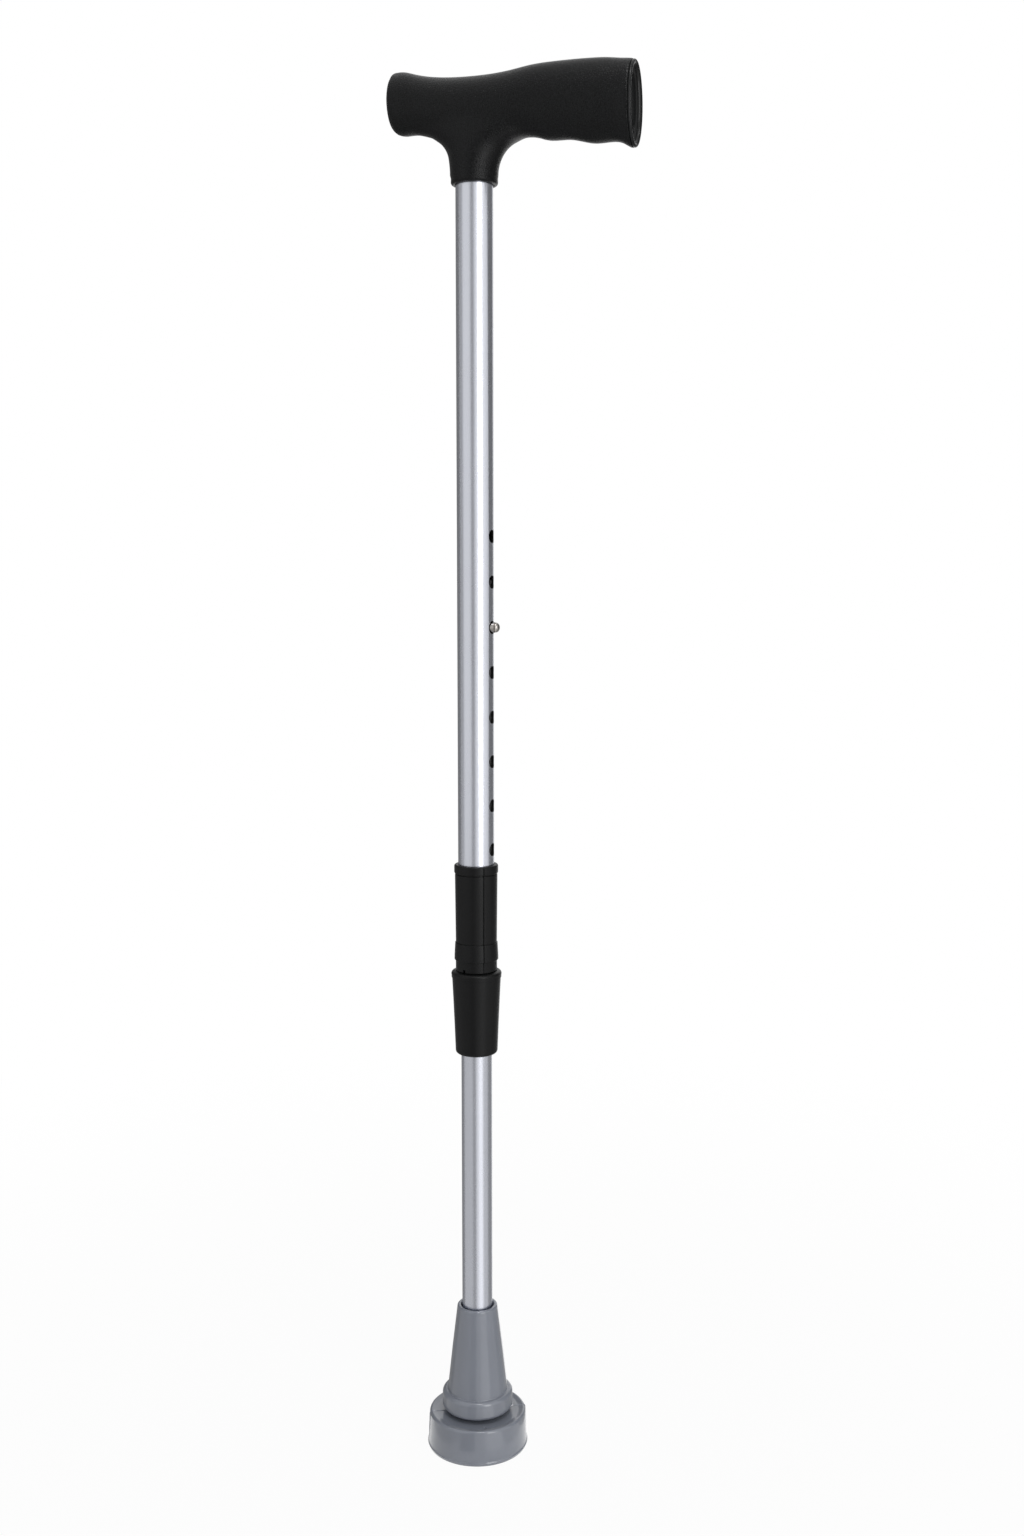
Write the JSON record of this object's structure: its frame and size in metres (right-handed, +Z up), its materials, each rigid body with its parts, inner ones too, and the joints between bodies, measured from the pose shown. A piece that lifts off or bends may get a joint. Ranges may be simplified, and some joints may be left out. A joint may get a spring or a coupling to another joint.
{
  "type": "walking cane",
  "caption": "Height-adjustable walking cane: moulded T handle, telescopic tube shaft with snap button and lock nut, and a rubber foot on a ball joint.",
  "frame": {"origin": "centre of the sole, where the shaft's axis meets the floor", "axes": "+Z up the shaft; +X towards the long palm end of the handle and the side with the snap button; +Y to the left of a user who walks towards -X"},
  "size_m": [0.1483, 0.0636, 0.8415],
  "materials": {
    "grip_plastic": "fine moulded grain, satin black",
    "cap_plastic": "smooth gloss black",
    "collar_plastic": "smooth satin black",
    "anodised_tube": "satin anodised",
    "nickel": "polished nickel plate",
    "spring_steel": "oiled steel",
    "tip_rubber": "smooth moulded blue-grey rubber",
    "nylon": "natural nylon"
  },
  "bodies": {
    "foot": {"tip_base": "tip_rubber", "ball_stud": "spring_steel"},
    "lower_shaft": {"tip_boot": "tip_rubber", "ball_cup": "nylon", "tube_washer": "spring_steel", "lower_tube": "anodised_tube", "guide_ring": "nylon", "button_spring": "spring_steel"},
    "button": {"snap_button": "nickel"},
    "upper_shaft": {"upper_tube": "anodised_tube", "tube_plug": "nylon", "handle_grip": "grip_plastic", "handle_end_cap": "cap_plastic", "locking_sleeve": "collar_plastic"},
    "ring": {"clamp_ring": "nylon"},
    "nut": {"lock_nut": "collar_plastic"}
  },
  "joints": [
    {"name": "foot_tilt", "type": "hinge", "parent": "foot", "child": "lower_shaft", "pos_m": [0, 0, 0.033], "axis": [0, 1, 0], "range_deg": [-4, 4], "stiffness_Nm_per_rad": 25},
    {"name": "height_adjust", "type": "slide", "parent": "lower_shaft", "child": "upper_shaft", "axis": [0, 0, 1], "range_m": [-0.0539, 0.1078]},
    {"name": "button_press", "type": "slide", "parent": "lower_shaft", "child": "button", "axis": [1, 0, 0], "range_m": [-0.0059, 0], "stiffness_N_per_m": 1500, "springref_m": 0.001, "deforming": ["button_spring"]},
    {"name": "ring_travel", "type": "slide", "parent": "upper_shaft", "child": "ring", "axis": [0, 0, 1], "range_m": [-0.003, 0]},
    {"name": "nut_turn", "type": "hinge", "parent": "ring", "child": "nut", "pos_m": [0, 0, 0.28], "axis": [0, 0, 1], "range_deg": [-360, 0]}
  ],
  "couplings": [
    {"joint": "nut_turn", "follows": "ring_travel", "rad_per_m": 2094.4}
  ]
}
